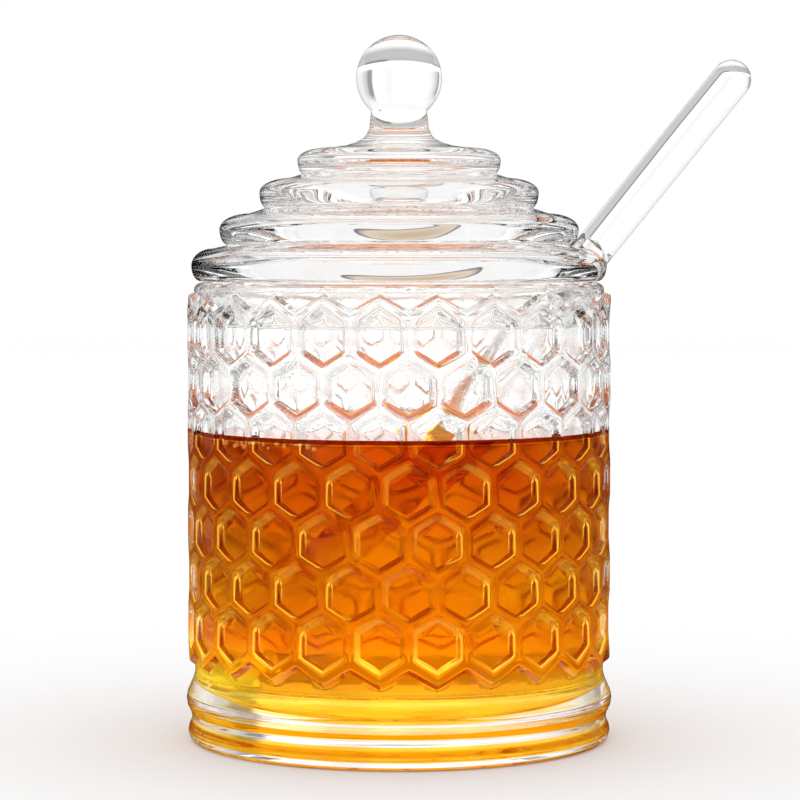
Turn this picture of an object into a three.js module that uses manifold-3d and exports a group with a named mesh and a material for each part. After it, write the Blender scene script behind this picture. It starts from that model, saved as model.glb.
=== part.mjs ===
// A clear glass honey pot: a pressed honeycomb jar part-filled with honey, a beehive lid
// with a ball knob and a notch, and a glass dipper that leans out through the notch.
// Millimetres, +Z up. The origin is the centre of the flat base.
// The front of the pot is -Y, and the dipper leans towards +X.

import * as THREE from 'three';
import { mergeVertices } from 'three/addons/utils/BufferGeometryUtils.js';
import Module from 'manifold-3d';

const wasm = await Module();
wasm.setup();

// Driving dimensions of the jar
const jarRadius = 44;
const jarHeight = 94.9;
const reliefDepth = 1.3;
const bodyRadius = jarRadius - reliefDepth;
const mouthRadius = 40.4;
const wallDraft = 1.0;
const floorThickness = 7;
const innerCornerRadius = 9;
const lipRound = 0.5;
const footRadius = 40.2;

// Widest and narrowest rings of the smooth foot of the jar, from the bottom up
const footRings = [
  { radius: 44.1, z: 2.0 },
  { radius: 43.4, z: 5.0 },
  { radius: 44.35, z: 8.8 },
  { radius: bodyRadius, z: 14.1 },
];

// Honeycomb relief: rows of pointed-top hexagonal pockets with ribs between them
const cellsPerRow = 24;
const cellRows = 7;
const topRowZ = 84.6;
const firstCellAngle = THREE.MathUtils.degToRad(-5);
const ribWidth = 1.4;
const bevelWidth = 1.2;
const cellWidth = 2 * Math.PI * jarRadius / cellsPerRow;
const rowPitch = 1.5 * cellWidth / Math.sqrt(3);

// Honey, and the gap that separates touching pieces
const honeyLevel = 64;
const gap = 0.3;

// Dipper: a straight rod that leans in the XZ plane and ends in a grooved head
const rodRadius = 4.1;
const rodTop = new THREE.Vector3(68.93, 0, 137);
const dipperLean = THREE.MathUtils.degToRad(38.95);
const dipperLength = 164.2;
const headLength = 26;
const headRadius = 9.5;
const headGrooves = 5;
const headGrooveDepth = 2.2;
const headOverrun = 0.4;

// Lid: four stacked tiers under a ball knob. Each tier is a bead with a widest ring,
// and its side is one quarter ellipse below that ring and one above it.
const tiers = [
  { radius: 43.15, z: 98.4, below: [2.0, 3.2], above: [4.5, 3.6] },
  { radius: 37.3, z: 106.0, below: [1.8, 3.3], above: [6.0, 3.2] },
  { radius: 29.0, z: 113.6, below: [1.4, 3.2], above: [6.0, 2.9] },
  { radius: 21.1, z: 120.3, below: [1.2, 2.8], above: [5.0, 2.4] },
];
const knob = { radius: 8.9, z: 137.3 };
const neck = { radius: 5.8, flareRadius: 6.9, flareZ: 125.4, footRadius: 9, footZ: 124 };
const skirt = { innerRadius: 36.4, outerRadius: 39.4, z: 86 };

// The lid is hollow: rings of the hollow's roof from the skirt up to the axis
const hollowRings = [[36.4, 95.5], [30.8, 101.8], [23.2, 109], [14.5, 115.4], [0, 118.7]];

// Notch for the dipper in the lid's lowest tier, with a raised collar round it
const notch = { radius: 4.6, length: 60 };
const collar = { ringRadius: 39.2, z: 100.5, radius: 3.6, halfWidth: 9.5 };

// Numbers of sides
const jarSides = 3 * cellsPerRow;
const lidSides = 40;
const honeySides = 48;
const dipperSides = 18;

function lerp(a, b, t) {
  return a + (b - a) * t;
}

// Elliptic arc of a profile, with its angles in quarter turns from the outward direction.
function arc(centreR, centreZ, sizeR, sizeZ, from, to, steps) {
  const points = [];
  for (let i = 0; i <= steps; i++) {
    const angle = lerp(from, to, i / steps) * Math.PI / 2;
    const r = centreR + sizeR * Math.cos(angle);
    points.push(new THREE.Vector2(r, centreZ + sizeZ * Math.sin(angle)));
  }
  return points;
}

// Smooth profile through widest and narrowest rings, without the first of them.
function wave(rings, steps) {
  const points = [];
  for (let n = 1; n < rings.length; n++) {
    const [from, to] = [rings[n - 1], rings[n]];
    for (let i = 1; i <= steps; i++) {
      const ease = (1 - Math.cos(Math.PI * i / steps)) / 2;
      const r = lerp(from.radius, to.radius, ease);
      points.push(new THREE.Vector2(r, lerp(from.z, to.z, i / steps)));
    }
  }
  return points;
}

// The jar's inner wall opens slightly towards the mouth.
const wallBottom = floorThickness + innerCornerRadius;
const wallTop = jarHeight - lipRound;

function innerRadius(z) {
  return mouthRadius - wallDraft * (wallTop - z) / (wallTop - wallBottom);
}

// A closed surface, collected polygon by polygon. Corners run anticlockwise seen from outside.
class Surface {
  constructor() {
    this.positions = [];
  }

  polygon(...corners) {
    for (let i = 2; i < corners.length; i++) {
      for (const corner of [corners[0], corners[i - 1], corners[i]]) {
        this.positions.push(corner.x, corner.y, corner.z);
      }
    }
  }

  // Skin through closed rings with equal numbers of points.
  loft(...rings) {
    for (let n = 1; n < rings.length; n++) {
      const [lower, upper] = [rings[n - 1], rings[n]];
      for (let i = 0; i < lower.length; i++) {
        const next = (i + 1) % lower.length;
        this.polygon(lower[i], lower[next], upper[next], upper[i]);
      }
    }
  }

  // Disc between a ring and the axis at the ring's height, facing up or down.
  disc(ring, facing) {
    const centre = new THREE.Vector3(0, 0, ring[0].z);
    for (let i = 0; i < ring.length; i++) {
      const pair = [ring[i], ring[(i + 1) % ring.length]];
      this.polygon(centre, ...(facing === 'up' ? pair : pair.reverse()));
    }
  }

  geometry() {
    const geometry = new THREE.BufferGeometry();
    geometry.setAttribute('position', new THREE.Float32BufferAttribute(this.positions, 3));
    return mergeVertices(geometry, 1e-3);
  }
}

// Point on a ring of the jar. The angle runs from the front towards +X.
function jarPoint(radius, angle, z) {
  return new THREE.Vector3(radius * Math.sin(angle), -radius * Math.cos(angle), z);
}

// Smooth ring of the jar, with its points in line with those of the honeycomb's ends.
function jarRing({ x: radius, y: z }) {
  const points = [];
  for (let i = 0; i < jarSides; i++) {
    points.push(jarPoint(radius, firstCellAngle + 2 * Math.PI * (i + 0.5) / jarSides, z));
  }
  return points;
}

// Corners of a hexagonal cell, drawn in by an inset and set back by a depth.
const [upperRight, top, upperLeft, lowerLeft, bottom, lowerRight] = [0, 1, 2, 3, 4, 5];

function cellCorners(row, column, inset, depth) {
  const shift = row % 2 === 1 ? 0 : 0.5;
  const centreAngle = firstCellAngle + (column + shift) * 2 * Math.PI / cellsPerRow;
  const centreZ = topRowZ - (row - 1) * rowPitch;
  const size = (cellWidth / 2 - inset) * 2 / Math.sqrt(3);
  const corners = [];
  for (let k = 0; k < 6; k++) {
    const turn = Math.PI / 6 + k * Math.PI / 3;
    const angle = centreAngle + size * Math.cos(turn) / jarRadius;
    corners.push(jarPoint(jarRadius - depth, angle, centreZ + size * Math.sin(turn)));
  }
  return corners;
}

const ribEdge = (row, column) => cellCorners(row, column, ribWidth / 2, 0);
const pocketFloor = (row, column) => cellCorners(row, column, ribWidth / 2 + bevelWidth, reliefDepth);

// Columns of the two cells that a cell touches in the next row up or down, left one first.
function neighbourColumns(row, column) {
  const left = row % 2 === 1 ? column - 1 : column;
  return [left, left + 1];
}

// Slopes from the rib tops down to a pocket's floor, along some sides of a cell.
function addSlopes(surface, row, column, firstSide, sides) {
  const outer = ribEdge(row, column);
  const inner = pocketFloor(row, column);
  for (let k = firstSide; k < firstSide + sides; k++) {
    const next = (k + 1) % 6;
    surface.polygon(outer[k], outer[next], inner[next], inner[k]);
  }
}

// Tops of the two ribs below a cell, and the joint where they meet.
function addRibsBelow(surface, row, column) {
  const cell = ribEdge(row, column);
  const [left, right] = neighbourColumns(row, column).map((c) => ribEdge(row + 1, c));
  surface.polygon(cell[bottom], cell[lowerLeft], left[top], left[upperRight]);
  surface.polygon(cell[lowerRight], cell[bottom], right[upperLeft], right[top]);
  surface.polygon(cell[bottom], left[upperRight], right[upperLeft]);
}

// Top of the upright rib to the right of a cell.
function addUprightRib(surface, row, column) {
  const cell = ribEdge(row, column);
  const right = ribEdge(row, column + 1);
  surface.polygon(cell[upperRight], cell[lowerRight], right[lowerLeft], right[upperLeft]);
}

// Joint of the ribs at the top corner of a cell.
function addTopJoint(surface, row, column) {
  const cell = ribEdge(row, column);
  const [left, right] = neighbourColumns(row, column).map((c) => ribEdge(row - 1, c));
  surface.polygon(cell[top], right[lowerLeft], left[lowerRight]);
}

// Blunt tips of the zigzag above the first row and below the last one. The rows beyond
// the honeycomb have no pockets, and only their near sides slope down to the smooth wall.
function addUpperTip(surface, column) {
  const ribs = [ribEdge(0, column), ribEdge(0, column + 1)];
  const wall = [pocketFloor(0, column), pocketFloor(0, column + 1)];
  surface.polygon(ribs[0][lowerRight], ribs[1][lowerLeft], wall[1][lowerLeft], wall[0][lowerRight]);
}

function addLowerTip(surface, column) {
  const row = cellRows + 1;
  const ribs = [ribEdge(row, column), ribEdge(row, column + 1)];
  const wall = [pocketFloor(row, column), pocketFloor(row, column + 1)];
  surface.polygon(wall[0][upperRight], wall[1][upperLeft], ribs[1][upperLeft], ribs[0][upperRight]);
}

// The honeycomb, and the two zigzag rings where it meets the smooth wall.
function addHoneycomb(surface) {
  const upperRing = [];
  const lowerRing = [];
  for (let column = 0; column < cellsPerRow; column++) {
    for (let row = 1; row <= cellRows; row++) {
      surface.polygon(...pocketFloor(row, column));
      addSlopes(surface, row, column, upperRight, 6);
      addUprightRib(surface, row, column);
    }
    for (let row = 0; row <= cellRows; row++) {
      addRibsBelow(surface, row, column);
      addTopJoint(surface, row + 1, column);
    }
    addSlopes(surface, 0, column, lowerLeft, 2);
    addSlopes(surface, cellRows + 1, column, upperRight, 2);
    addUpperTip(surface, column);
    addLowerTip(surface, column);
    const above = pocketFloor(0, column);
    const below = pocketFloor(cellRows + 1, column);
    upperRing.push(above[lowerLeft], above[bottom], above[lowerRight]);
    lowerRing.push(below[upperLeft], below[top], below[upperRight]);
  }
  return { upperRing, lowerRing };
}

function jarGeometry() {
  const surface = new Surface();
  const foot = footRings[0];
  const lipRadius = mouthRadius + lipRound;
  const lipOuterRound = bodyRadius - lipRadius;
  const cornerCentre = innerRadius(wallBottom) - innerCornerRadius;
  const outside = [
    ...arc(footRadius, foot.z, foot.radius - footRadius, foot.z, -1, 0, 3),
    ...wave(footRings, 3),
  ].map(jarRing);
  const inside = [
    ...arc(lipRadius, jarHeight - lipOuterRound, lipOuterRound, lipOuterRound, 0, 1, 3),
    ...arc(lipRadius, wallTop, lipRound, lipRound, 1, 2, 2).slice(1),
    ...arc(cornerCentre, wallBottom, innerCornerRadius, innerCornerRadius, 0, -1, 4),
  ].map(jarRing);
  const { upperRing, lowerRing } = addHoneycomb(surface);
  surface.disc(outside[0], 'down');
  surface.loft(...outside, lowerRing);
  surface.loft(upperRing, ...inside);
  surface.disc(inside.at(-1), 'up');
  return surface.geometry();
}

// Solid of a closed geometry for cutting and joining.
function toSolid(geometry) {
  const merged = geometry.clone();
  merged.deleteAttribute('normal');
  merged.deleteAttribute('uv');
  const { index, attributes } = mergeVertices(merged, 1e-4);
  const triangles = [];
  for (let i = 0; i < index.count; i += 3) {
    const [a, b, c] = [index.getX(i), index.getX(i + 1), index.getX(i + 2)];
    if (a !== b && b !== c && c !== a) {
      triangles.push(a, b, c);
    }
  }
  return new wasm.Manifold(new wasm.Mesh({
    numProp: 3,
    vertProperties: Float32Array.from(attributes.position.array),
    triVerts: Uint32Array.from(triangles),
  }));
}

function toGeometry(solid) {
  const mesh = solid.getMesh();
  const geometry = new THREE.BufferGeometry();
  geometry.setAttribute('position', new THREE.BufferAttribute(mesh.vertProperties, 3));
  geometry.setIndex(new THREE.BufferAttribute(mesh.triVerts, 1));
  return geometry;
}

// Turned solid about +Z. The profile runs from the bottom of the axis round to its top.
function turned(profile, sides) {
  const points = profile.map(([r, z]) => new THREE.Vector2(r, z));
  return new THREE.LatheGeometry(points, sides).rotateX(Math.PI / 2);
}

const pairs = (points) => points.map((point) => [point.x, point.y]);

// Radius of the dipper's head at a distance from its end. The outline is an ellipse cut
// off blunt at the end, and towards the rod it is never thinner than the rod.
function barrel(distance) {
  const half = headLength / 2;
  const fromMiddle = (distance - half) / (half + headOverrun);
  const radius = headRadius * Math.sqrt(1 - fromMiddle ** 2);
  return distance > half ? Math.max(radius, rodRadius) : radius;
}

// Side of the head, with rings of a groove depth and an offset all over.
function headProfile(steps, grooveDepth, offset) {
  const points = [];
  for (let i = 0; i <= steps; i++) {
    const distance = headLength * i / steps;
    const wave = (1 - Math.cos(2 * Math.PI * headGrooves * i / steps)) / 2;
    const radius = barrel(distance) * (1 - wave * grooveDepth / headRadius);
    points.push([radius + offset, distance]);
  }
  return points;
}

// The dipper about its own axis, with the end of its head at the origin.
function dipperGeometry() {
  const end = arc(0, dipperLength, rodRadius, rodRadius, 0, 1, 5);
  const profile = [[0, 0], ...headProfile(4 * headGrooves, headGrooveDepth, 0), ...pairs(end)];
  return turned(profile, dipperSides);
}

// Space round the dipper that the honey leaves free.
function dipperClearance() {
  const side = headProfile(2 * headGrooves, 0, gap);
  const rodEnd = [[rodRadius + gap, dipperLength], [0, dipperLength]];
  return turned([[0, -gap], ...side, ...rodEnd], dipperSides);
}

// Places what is modelled about the dipper's own axis at a distance along it.
const dipperAxis = new THREE.Vector3(Math.sin(dipperLean), 0, Math.cos(dipperLean));
const dipperPlace = rodTop.clone().addScaledVector(dipperAxis, -dipperLength);

function alongDipper(geometry, distance = 0) {
  const place = dipperPlace.clone().addScaledVector(dipperAxis, distance);
  return geometry.rotateY(dipperLean).translate(place.x, place.y, place.z);
}

function honeyGeometry() {
  const cornerCentre = innerRadius(wallBottom) - innerCornerRadius;
  const cornerRadius = innerCornerRadius - gap;
  const corner = arc(cornerCentre, wallBottom, cornerRadius, cornerRadius, -1, 0, 4);
  const topRing = [innerRadius(honeyLevel) - gap, honeyLevel];
  const profile = [[0, floorThickness + gap], ...pairs(corner), topRing, [0, honeyLevel]];
  const honey = toSolid(turned(profile, honeySides));
  return toGeometry(honey.subtract(toSolid(alongDipper(dipperClearance()))));
}

// Side of a tier, from the foot of its bead up over its edge.
function tierProfile({ radius, z, below, above }) {
  return pairs([
    ...arc(radius - below[0], z, below[0], below[1], -1, 0, 3),
    ...arc(radius - above[0], z, above[0], above[1], 0, 1, 4).slice(1),
  ]);
}

function lidBody() {
  const seat = tiers[0].z - tiers[0].below[1];
  const knobMeetsNeck = -Math.acos(neck.radius / knob.radius) / (Math.PI / 2);
  const knobArc = arc(0, knob.z, knob.radius, knob.radius, knobMeetsNeck, 1, 9);
  const profile = [
    ...hollowRings.toReversed(),
    [skirt.innerRadius, skirt.z],
    [skirt.outerRadius, skirt.z],
    [skirt.outerRadius, seat],
    ...tiers.flatMap(tierProfile),
    [neck.footRadius, neck.footZ],
    [neck.flareRadius, neck.flareZ],
    ...pairs(knobArc),
  ];
  return toSolid(turned(profile, lidSides));
}

// Raised collar at the notch: a stretch of a ring on top of the lowest tier.
function collarBody() {
  const section = arc(collar.ringRadius, collar.z, collar.radius, collar.radius, 0, 4, 10);
  const ring = toSolid(turned(pairs(section), lidSides));
  const reach = 2 * collar.halfWidth;
  const block = new THREE.BoxGeometry(reach, reach, reach).translate(collar.ringRadius, 0, collar.z);
  return ring.intersect(toSolid(block));
}

// The notch is a slot along the dipper that is open towards the lid's edge.
function notchBody() {
  const { radius, length } = notch;
  const toMouth = dipperLength - (rodTop.z - jarHeight) / Math.cos(dipperLean);
  const end = new THREE.CylinderGeometry(radius, radius, length, dipperSides).rotateX(Math.PI / 2);
  const open = new THREE.BoxGeometry(length, 2 * radius, length).translate(length / 2, 0, 0);
  return toSolid(alongDipper(end, toMouth)).add(toSolid(alongDipper(open, toMouth)));
}

function lidGeometry() {
  return toGeometry(lidBody().add(collarBody()).subtract(notchBody()));
}

const clearGlass = new THREE.MeshStandardMaterial({
  color: 0xeef3f2, roughness: 0.03, metalness: 0, transparent: true, opacity: 0.35,
});
const honeyFill = new THREE.MeshStandardMaterial({ color: 0xe07a08, roughness: 0.1, metalness: 0 });

function named(name, geometry, material) {
  const mesh = new THREE.Mesh(geometry, material);
  mesh.name = name;
  geometry.computeVertexNormals();
  return mesh;
}

const dipper = named('dipper', dipperGeometry(), clearGlass);
dipper.position.copy(dipperPlace);
dipper.rotation.y = dipperLean;

const honeyPot = new THREE.Group();
honeyPot.add(
  named('jar', jarGeometry(), clearGlass),
  named('honey', honeyGeometry(), honeyFill),
  named('lid', lidGeometry(), clearGlass),
  dipper,
);

export default honeyPot;
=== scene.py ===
"""Clear glass honey pot with a dipper, dressed over its CAD frame.

Laid out as a Blender add-on and run as a script. Sizes are in metres, +Z is up, the origin is the
centre of the flat base, the front of the pot is -Y and the dipper leans towards +X.
"""

import math
import random
from functools import partial

import bmesh
import bpy
from bpy.props import FloatProperty, FloatVectorProperty, IntProperty, PointerProperty
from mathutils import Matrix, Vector


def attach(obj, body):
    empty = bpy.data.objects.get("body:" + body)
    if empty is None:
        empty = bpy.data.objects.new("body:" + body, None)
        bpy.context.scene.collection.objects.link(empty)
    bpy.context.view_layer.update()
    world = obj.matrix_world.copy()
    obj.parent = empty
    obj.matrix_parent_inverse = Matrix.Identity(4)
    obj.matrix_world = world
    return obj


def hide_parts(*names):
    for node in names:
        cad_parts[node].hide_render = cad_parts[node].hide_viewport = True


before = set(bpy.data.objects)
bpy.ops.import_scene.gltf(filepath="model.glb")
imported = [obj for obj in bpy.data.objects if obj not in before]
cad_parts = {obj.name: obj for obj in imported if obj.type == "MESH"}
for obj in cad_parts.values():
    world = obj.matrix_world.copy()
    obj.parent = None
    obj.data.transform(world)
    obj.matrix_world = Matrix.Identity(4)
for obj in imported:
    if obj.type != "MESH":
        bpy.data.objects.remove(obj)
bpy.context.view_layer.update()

bl_info = {
    "name": "Honey Pot with Dipper",
    "version": (1, 0, 0),
    "blender": (4, 5, 0),
    "location": "View3D > Sidebar > Honey Pot",
    "description": "Models a pressed glass honeycomb jar of honey with a beehive lid and a dipper",
    "category": "Object",
}

MM = 0.001

# Where the honeycomb gives way to the smooth rings under the mouth and over the foot
COMB_TOP = 93.6 * MM
COMB_BOTTOM = 14.5 * MM

# Glass against honey bends light only a little, as 1.5 to 1.49
WET_IOR = 1.01

WHITE = (1.0, 1.0, 1.0)
BLACK = (0.0, 0.0, 0.0)


# Settings

def length(name, description, millimetres):
    """A size property, given in millimetres and kept in metres."""
    return FloatProperty(
        name=name, description=description, default=millimetres * MM,
        precision=5, subtype="DISTANCE", unit="LENGTH",
    )


def colour(name, description, rgb):
    """A linear colour property."""
    return FloatVectorProperty(
        name=name, description=description, default=rgb,
        size=3, min=0.0, max=1.0, subtype="COLOR",
    )


class JarSizes(bpy.types.PropertyGroup):
    """Sizes of the honeycomb jar"""

    radius: length("Radius", "Outside radius over the honeycomb ribs", 44.0)
    height: length("Height", "Height of the mouth above the base", 94.9)
    mouth_radius: length("Mouth radius", "Inside radius at the mouth", 40.4)
    draft: length("Wall draft", "How much narrower the inside is at the bottom", 1.0)
    floor: length("Floor", "Thickness of the glass floor", 7.0)
    corner: length("Inner corner", "Radius between the inner wall and the floor", 9.0)
    relief: length("Relief", "Depth of the honeycomb pockets", 1.3)
    rib: length("Rib", "Width of the flat top of a rib", 0.8)
    shoulder: length("Shoulder", "Width of the soft shoulder beside a rib's top", 0.75)
    slope: length("Slope", "Width of the steep slope from a shoulder down to a pocket's floor", 0.55)
    floor_drop: length("Floor drop", "How far a pocket's floor sits below the middle of its cell", 0.3)
    top_row: length("Top row", "Height of the centres of the highest row of cells", 84.6)
    cells: IntProperty(name="Cells", description="Cells in a row", default=24, min=6)
    rows: IntProperty(name="Rows", description="Rows of cells", default=7, min=1)
    turn: FloatProperty(
        name="Turn", description="Turn of the first cell from the front",
        default=math.radians(-5), subtype="ANGLE",
    )


class HoneySizes(bpy.types.PropertyGroup):
    """Sizes of the honey"""

    level: length("Level", "Height of the honey's surface", 64.0)
    reach: length("Reach", "How far the honey reaches into the glass, so that no air gap shows", 0.12)
    climb: length("Climb", "How high the honey climbs up the glass at its edge", 0.5)
    bubbles: IntProperty(
        name="Bubbles", description="Bubbles against the glass at the surface", default=26, min=1,
    )


class LidSizes(bpy.types.PropertyGroup):
    """Sizes of the beehive lid"""

    knob_radius: length("Knob radius", "Radius of the ball knob", 8.9)
    knob_height: length("Knob height", "Height of the ball knob's centre", 137.3)
    neck_radius: length("Neck radius", "Radius of the neck under the knob", 5.8)
    skirt_inner: length("Skirt inner radius", "Inside radius of the locating skirt", 36.4)
    skirt_outer: length("Skirt outer radius", "Outside radius of the locating skirt", 39.4)
    skirt_bottom: length("Skirt bottom", "Height of the skirt's lower edge", 86.0)
    notch: length("Notch", "Radius of the dipper's notch", 4.6)
    collar: length("Collar", "Radius of the raised collar at the notch", 3.6)


class DipperSizes(bpy.types.PropertyGroup):
    """Sizes of the glass dipper"""

    rod: length("Rod radius", "Radius of the rod", 4.1)
    length: length("Length", "Length from the head's end to where the rod's round end starts", 164.2)
    head: length("Head radius", "Radius of the grooved head", 9.5)
    head_length: length("Head length", "Length of the grooved head", 26.0)
    groove: length("Groove", "Depth of the head's grooves", 2.2)
    grooves: IntProperty(name="Grooves", description="Grooves round the head", default=5, min=1)
    lean: FloatProperty(
        name="Lean", description="Lean of the dipper from upright",
        default=math.radians(38.95), subtype="ANGLE",
    )


class Finishes(bpy.types.PropertyGroup):
    """Colours of the glass and the honey, with the painted shade, glow and glints on them"""

    glass: colour("Glass", "Tint of the clear glass", (0.985, 0.99, 0.985))
    honey: colour("Honey", "Colour that the honey lets through", (0.985, 0.82, 0.0))
    honey_depth: FloatProperty(
        name="Honey density", description="How strongly the honey takes up light",
        default=102.0, min=0.0,
    )
    deep_honey: colour("Deep honey", "Tone of the honey near its surface", (0.72, 0.3, 0.2))
    # Painted light on the honeycomb's slopes: shade painted into the glass's colour, and glow painted as
    # emission
    painted_slope_shade: colour("Slope shade", "Tint of the slopes that look deep in honey", (0.3, 0.06, 0.02))
    painted_slope_glow: colour("Slope glow", "Glow of the slopes that look bright in honey", (0.85, 0.58, 0.06))
    # Painted glint: the bubbles are coloured and glow with this
    bubble: colour("Bubble", "Bright skin of the bubbles in the honey", (1.0, 0.72, 0.22))
    floor: colour("Floor", "Pale floor of the stage", (0.93, 0.93, 0.93))


class HoneyPotSettings(bpy.types.PropertyGroup):
    """Everything that a user would change about the honey pot"""

    jar: PointerProperty(type=JarSizes)
    honey: PointerProperty(type=HoneySizes)
    lid: PointerProperty(type=LidSizes)
    dipper: PointerProperty(type=DipperSizes)
    finishes: PointerProperty(type=Finishes)


# Modelling by hand

def select_only(piece):
    """Makes a piece the only one selected, and active."""
    bpy.ops.object.select_all(action="DESELECT")
    piece.select_set(True)
    bpy.context.view_layer.objects.active = piece


def apply_transform():
    """Applies the selected piece's place, turn and scale to its mesh."""
    bpy.ops.object.transform_apply(location=True, rotation=True, scale=True)


def edit(piece):
    """Enters edit mode on one piece."""
    bpy.ops.object.mode_set(mode="OBJECT")
    select_only(piece)
    bpy.ops.object.mode_set(mode="EDIT")


def leave_edit():
    bpy.ops.object.mode_set(mode="OBJECT")


def pick_edges(piece, test):
    """Selects the edges that pass a test, in edit mode."""
    bpy.ops.mesh.select_all(action="DESELECT")
    mesh = bmesh.from_edit_mesh(piece.data)
    for edge in mesh.edges:
        if test(edge):
            edge.select_set(True)
    bmesh.update_edit_mesh(piece.data)


def start_ring(name, sides, radius, height):
    """Adds a ring of edges and leaves it selected in edit mode."""
    bpy.ops.mesh.primitive_circle_add(
        vertices=sides, radius=radius, location=(0, 0, height), fill_type="NOTHING",
    )
    piece = bpy.context.object
    piece.name = name
    apply_transform()
    bpy.ops.object.mode_set(mode="EDIT")
    bpy.ops.mesh.select_all(action="SELECT")
    return piece


def extrude_ring(rise, scale=1.0, height=0.0):
    """Extrudes the selected ring upwards, and scales it about the axis."""
    bpy.ops.mesh.extrude_edges_move(TRANSFORM_OT_translate={"value": (0, 0, rise)})
    if abs(scale - 1.0) > 1e-9:
        bpy.ops.transform.resize(value=(scale, scale, 1.0), center_override=(0, 0, height))


def extrude_profile(profile):
    """Extrudes the selected ring, which is the profile's first point, through the others."""
    for (radius, height), (next_radius, next_height) in zip(profile, profile[1:]):
        extrude_ring(next_height - height, next_radius / radius, next_height)


def close_and_finish(piece, angle=None):
    """Fills the open rings, merges doubles, turns the faces outwards and shades the piece smooth."""
    bpy.ops.mesh.select_all(action="SELECT")
    bpy.ops.mesh.fill_holes(sides=0)
    bpy.ops.mesh.select_all(action="SELECT")
    bpy.ops.mesh.remove_doubles(threshold=0.001 * MM)
    bpy.ops.mesh.normals_make_consistent(inside=False)
    leave_edit()
    smooth(piece, angle)


def smooth(piece, angle=None):
    """Shades a piece smooth, up to an angle in degrees where one is given."""
    select_only(piece)
    if angle is None:
        bpy.ops.object.shade_smooth()
    else:
        bpy.ops.object.shade_smooth_by_angle(angle=math.radians(angle))


def turned(name, profile, sides, angle=None):
    """A turned piece about +Z, from its profile of (radius, height) points."""
    piece = start_ring(name, sides, *profile[0])
    extrude_profile(profile)
    close_and_finish(piece, angle)
    return piece


def apply_modifier(piece, kind, name, **values):
    """Adds a modifier, sets its values and applies it."""
    select_only(piece)
    modifier = piece.modifiers.new(name, kind)
    for key, value in values.items():
        setattr(modifier, key, value)
    bpy.ops.object.modifier_apply(modifier=modifier.name)


def combine(piece, tool, operation):
    """Cuts, joins or intersects a piece with a tool, which is then removed."""
    apply_modifier(
        piece, "BOOLEAN", operation.lower(), operation=operation, solver="EXACT", object=tool,
    )
    bpy.data.objects.remove(tool, do_unlink=True)
    edit(piece)
    bpy.ops.mesh.select_all(action="SELECT")
    bpy.ops.mesh.remove_doubles(threshold=0.002 * MM)
    leave_edit()


def place(piece, location, lean):
    """Leans a piece in the XZ plane, moves it and applies both to its mesh."""
    select_only(piece)
    piece.rotation_euler = (0, lean, 0)
    piece.location = location
    apply_transform()


def copied(piece, name):
    """A copy of a piece with its own mesh."""
    copy = piece.copy()
    copy.data = piece.data.copy()
    copy.name = name
    bpy.context.scene.collection.objects.link(copy)
    return copy


def joined(pieces, name):
    """Joins pieces into the first of them."""
    bpy.ops.object.select_all(action="DESELECT")
    for piece in pieces:
        piece.select_set(True)
    bpy.context.view_layer.objects.active = pieces[0]
    bpy.ops.object.join()
    pieces[0].name = name
    return pieces[0]


def arc(centre, size, start, end, steps):
    """Points of an elliptic arc of a profile, with its angles in quarter turns from outwards."""
    points = []
    for i in range(steps + 1):
        angle = (start + (end - start) * i / steps) * math.pi / 2
        points.append((centre[0] + size[0] * math.cos(angle), centre[1] + size[1] * math.sin(angle)))
    return points


def in_metres(profile):
    return [(radius * MM, height * MM) for radius, height in profile]


def scaled_points(points, steps):
    """More points on the straight stretches of a profile."""
    result = [points[0]]
    for start, end in zip(points, points[1:]):
        for i in range(1, steps + 1):
            result.append(tuple(a + (b - a) * i / steps for a, b in zip(start, end)))
    return result


# Jar

def cell_width(sizes):
    """Width of a cell of the honeycomb, from side to side."""
    return 2 * math.pi * sizes.radius / sizes.cells


def row_pitch(sizes):
    """Height from the centre of a cell to the next row's centres."""
    return 1.5 * cell_width(sizes) / math.sqrt(3)


def comb_cell(sizes):
    """One flat cell of the honeycomb, its rib, slopes and sunken floor facing -Y."""
    bpy.ops.mesh.primitive_circle_add(
        vertices=6, radius=cell_width(sizes) / math.sqrt(3), fill_type="NGON",
        rotation=(math.pi / 2, 0, 0),
    )
    cell = bpy.context.object
    apply_transform()
    edit(cell)
    bpy.ops.mesh.select_all(action="SELECT")
    shoulder_share = 0.3
    bpy.ops.mesh.inset(thickness=sizes.rib / 2, depth=0.0)
    bpy.ops.mesh.inset(thickness=sizes.shoulder, depth=-shoulder_share * sizes.relief)
    bpy.ops.mesh.inset(thickness=sizes.slope, depth=-(1 - shoulder_share) * sizes.relief)
    bpy.ops.transform.translate(value=(0, 0, -sizes.floor_drop))

    # The mitred corners and the floor's edges stay crisp when the cell is smoothed
    pick_edges(cell, lambda edge: edge.calc_length() < 2.0 * MM)
    bpy.ops.transform.edge_crease(value=0.8)
    pick_edges(cell, lambda edge: min(vertex.co.y for vertex in edge.verts) > 0.99 * sizes.relief)
    bpy.ops.transform.edge_crease(value=0.9)
    leave_edit()
    return cell


def comb_sheet(sizes):
    """The flat honeycomb, copied from one cell."""
    cell = comb_cell(sizes)
    width = cell_width(sizes)
    apply_modifier(
        cell, "ARRAY", "row", count=sizes.cells, use_relative_offset=False, use_constant_offset=True,
        constant_offset_displace=(width, 0, 0),
    )
    rows = []
    for row in range(sizes.rows):
        copy = copied(cell, f"row_{row}")
        shift = width / 2 if row % 2 else 0.0
        copy.location = (sizes.turn * sizes.radius + shift, 0, sizes.top_row - row * row_pitch(sizes))
        rows.append(copy)
    bpy.data.objects.remove(cell, do_unlink=True)
    bpy.context.view_layer.update()
    sheet = joined(rows, "jar_glass")
    apply_transform()
    edit(sheet)
    bpy.ops.mesh.select_all(action="SELECT")
    bpy.ops.mesh.remove_doubles(threshold=0.02 * MM)
    leave_edit()
    return sheet


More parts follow.
